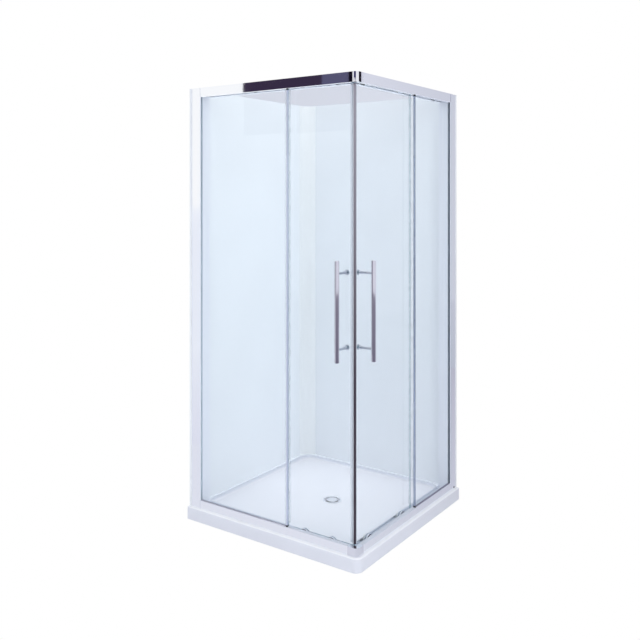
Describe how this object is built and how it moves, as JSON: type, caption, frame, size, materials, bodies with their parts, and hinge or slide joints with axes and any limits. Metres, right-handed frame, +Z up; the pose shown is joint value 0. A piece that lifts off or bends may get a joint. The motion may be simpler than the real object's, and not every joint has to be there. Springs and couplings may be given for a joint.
{
  "type": "corner shower enclosure",
  "caption": "Square corner-entry shower enclosure: low tray with a waste, wall panels, fixed glass and framed glass doors that slide apart from the corner.",
  "frame": {"origin": "centre of the tray's underside, on the floor", "axes": "+Z up; the room's walls are at -X and +Y, and the corner where the doors meet is at +X -Y"},
  "size_m": [0.9235, 0.9235, 1.922],
  "materials": {
    "tray_acrylic": "gloss",
    "core_board": "matte",
    "wall_acrylic": "gloss",
    "frame_aluminium": "polished",
    "strip_aluminium": "satin",
    "corner_chrome": "polished",
    "handle_chrome": "polished",
    "roller_chrome": "polished",
    "screw_steel": "bright",
    "waste_chrome": "polished",
    "waste_plastic": "satin",
    "glass": "clear",
    "dark_seal": "satin",
    "clear_seal": "satin",
    "magnet_strip": "satin",
    "black_plastic": "satin",
    "black_rubber": "matte",
    "wheel_nylon": "satin"
  },
  "bodies": {
    "enclosure": {"tray_shell": "tray_acrylic", "tray_core": "core_board", "left_wall_panel": "wall_acrylic", "back_wall_panel": "wall_acrylic", "corner_cove": "wall_acrylic", "front_wall_channel": "frame_aluminium", "side_wall_channel": "frame_aluminium", "front_post": "frame_aluminium", "side_post": "frame_aluminium", "post_caps": "frame_aluminium", "front_top_rail": "frame_aluminium", "side_top_rail": "frame_aluminium", "front_bottom_rail": "frame_aluminium", "side_bottom_rail": "frame_aluminium", "rail_infills": "frame_aluminium", "front_edge_strip": "strip_aluminium", "side_edge_strip": "strip_aluminium", "top_corner_block": "corner_chrome", "bottom_corner_block": "corner_chrome", "frame_screws": "screw_steel", "waste_flange": "waste_chrome", "waste_grate": "waste_chrome", "waste_body": "waste_plastic", "front_fixed_glass": "glass", "side_fixed_glass": "glass", "front_glazing_seal": "dark_seal", "side_glazing_seal": "dark_seal", "edge_strip_caps": "black_plastic", "post_hole_plug": "black_plastic", "waste_gasket": "black_rubber", "door_stops": "black_rubber"},
    "front_door": {"front_handle_bar": "handle_chrome", "front_handle_posts": "handle_chrome", "front_handle_caps": "handle_chrome", "front_top_carriers": "roller_chrome", "front_bottom_carriers": "roller_chrome", "front_carrier_bolts": "roller_chrome", "front_door_glass": "glass", "front_door_seal": "clear_seal", "front_trailing_seal": "clear_seal", "front_door_magnet": "magnet_strip"},
    "side_door": {"side_handle_bar": "handle_chrome", "side_handle_posts": "handle_chrome", "side_handle_caps": "handle_chrome", "side_top_carriers": "roller_chrome", "side_bottom_carriers": "roller_chrome", "side_carrier_bolts": "roller_chrome", "side_door_glass": "glass", "side_door_seal": "clear_seal", "side_trailing_seal": "clear_seal", "side_door_magnet": "magnet_strip"},
    "front_top_wheel_lead": {"front_top_wheel_lead": "wheel_nylon"},
    "front_top_wheel_trail": {"front_top_wheel_trail": "wheel_nylon"},
    "front_bottom_wheel_lead": {"front_bottom_wheel_lead": "wheel_nylon"},
    "front_bottom_wheel_trail": {"front_bottom_wheel_trail": "wheel_nylon"},
    "side_top_wheel_lead": {"side_top_wheel_lead": "wheel_nylon"},
    "side_top_wheel_trail": {"side_top_wheel_trail": "wheel_nylon"},
    "side_bottom_wheel_lead": {"side_bottom_wheel_lead": "wheel_nylon"},
    "side_bottom_wheel_trail": {"side_bottom_wheel_trail": "wheel_nylon"},
    "waste_cover": {"waste_cover": "waste_chrome"}
  },
  "joints": [
    {"name": "front_door_slide", "type": "slide", "parent": "enclosure", "child": "front_door", "axis": [-1, 0, 0], "range_m": [0, 0.253]},
    {"name": "side_door_slide", "type": "slide", "parent": "enclosure", "child": "side_door", "axis": [0, 1, 0], "range_m": [0, 0.314]},
    {"name": "front_top_wheel_lead_spin", "type": "hinge", "parent": "front_door", "child": "front_top_wheel_lead", "pos_m": [0.296, -0.386, 1.8961], "axis": [0, -1, 0], "range_deg": [-5, 1458]},
    {"name": "front_top_wheel_trail_spin", "type": "hinge", "parent": "front_door", "child": "front_top_wheel_trail", "pos_m": [0.162, -0.386, 1.8961], "axis": [0, -1, 0], "range_deg": [-5, 1458]},
    {"name": "front_bottom_wheel_lead_spin", "type": "hinge", "parent": "front_door", "child": "front_bottom_wheel_lead", "pos_m": [0.296, -0.386, 0.0691], "axis": [0, -1, 0], "range_deg": [-5, 1458]},
    {"name": "front_bottom_wheel_trail_spin", "type": "hinge", "parent": "front_door", "child": "front_bottom_wheel_trail", "pos_m": [0.162, -0.386, 0.0691], "axis": [0, -1, 0], "range_deg": [-5, 1458]},
    {"name": "side_top_wheel_lead_spin", "type": "hinge", "parent": "side_door", "child": "side_top_wheel_lead", "pos_m": [0.386, -0.296, 1.8961], "axis": [-1, 0, 0], "range_deg": [-5, 1808]},
    {"name": "side_top_wheel_trail_spin", "type": "hinge", "parent": "side_door", "child": "side_top_wheel_trail", "pos_m": [0.386, -0.025, 1.8961], "axis": [-1, 0, 0], "range_deg": [-5, 1808]},
    {"name": "side_bottom_wheel_lead_spin", "type": "hinge", "parent": "side_door", "child": "side_bottom_wheel_lead", "pos_m": [0.386, -0.296, 0.0691], "axis": [-1, 0, 0], "range_deg": [-5, 1808]},
    {"name": "side_bottom_wheel_trail_spin", "type": "hinge", "parent": "side_door", "child": "side_bottom_wheel_trail", "pos_m": [0.386, -0.025, 0.0691], "axis": [-1, 0, 0], "range_deg": [-5, 1808]},
    {"name": "waste_cover_lift", "type": "slide", "parent": "enclosure", "child": "waste_cover", "axis": [0, 0, 1], "range_m": [0, 0.03]}
  ],
  "couplings": [
    {"joint": "front_top_wheel_lead_spin", "follows": "front_door_slide", "rad_per_m": 100},
    {"joint": "front_top_wheel_trail_spin", "follows": "front_door_slide", "rad_per_m": 100},
    {"joint": "front_bottom_wheel_lead_spin", "follows": "front_door_slide", "rad_per_m": 100},
    {"joint": "front_bottom_wheel_trail_spin", "follows": "front_door_slide", "rad_per_m": 100},
    {"joint": "side_top_wheel_lead_spin", "follows": "side_door_slide", "rad_per_m": 100},
    {"joint": "side_top_wheel_trail_spin", "follows": "side_door_slide", "rad_per_m": 100},
    {"joint": "side_bottom_wheel_lead_spin", "follows": "side_door_slide", "rad_per_m": 100},
    {"joint": "side_bottom_wheel_trail_spin", "follows": "side_door_slide", "rad_per_m": 100}
  ]
}
